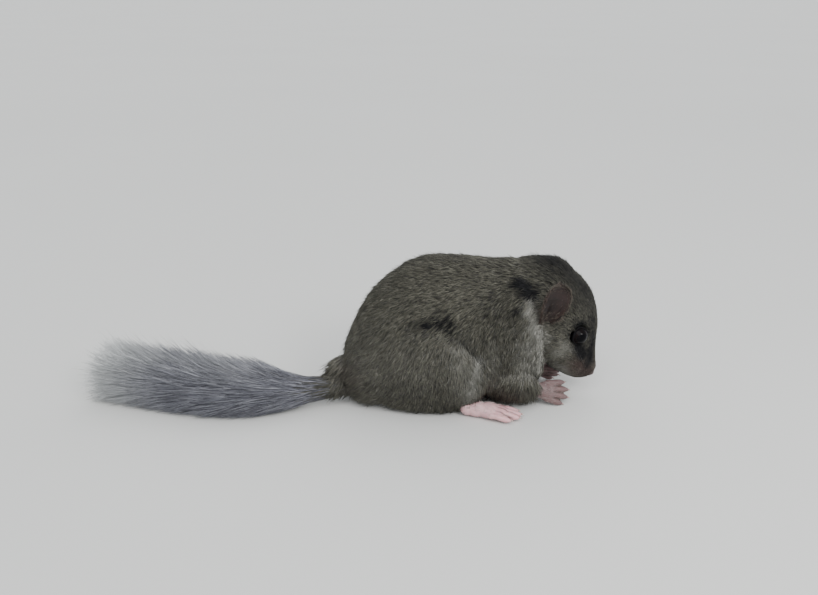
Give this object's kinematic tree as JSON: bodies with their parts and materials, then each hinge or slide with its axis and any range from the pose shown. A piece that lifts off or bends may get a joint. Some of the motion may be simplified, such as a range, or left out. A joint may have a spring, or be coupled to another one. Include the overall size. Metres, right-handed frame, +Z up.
{
  "type": "woodland dormouse",
  "caption": "Life-size woodland dormouse crouched to feed, nose down between its forepaws, with its long bushy tail laid out behind it.",
  "frame": {"origin": "middle of the footprint, at the level the animal rests on", "axes": "+X along the animal towards its nose, +Y to its left, +Z up"},
  "size_m": [0.1392, 0.0422, 0.0406],
  "materials": {
    "coat": "soft dense fur, olive grey with pale grizzled tips over slate",
    "tail_hair": "long loose grey hair with whitish tips",
    "foot_skin": "bare pink skin, slightly moist",
    "ear_skin": "thin bare brown skin, matt",
    "eye": "wet black, clear reflections"
  },
  "bodies": {
    "root": {"head": "coat", "neck": "coat", "chest": "coat", "belly": "coat", "rump": "coat", "thigh_left": "coat", "thigh_right": "coat", "foreleg_left": "coat", "foreleg_right": "coat", "tail_root": "tail_hair", "tail_near": "tail_hair", "tail_far": "tail_hair", "tail_tip": "tail_hair", "hind_foot_left": "foot_skin", "hind_foot_right": "foot_skin", "forepaw_left": "foot_skin", "forepaw_right": "foot_skin", "ear_left": "ear_skin", "ear_right": "ear_skin", "eye_left": "eye", "eye_right": "eye"}
  },
  "joints": []
}
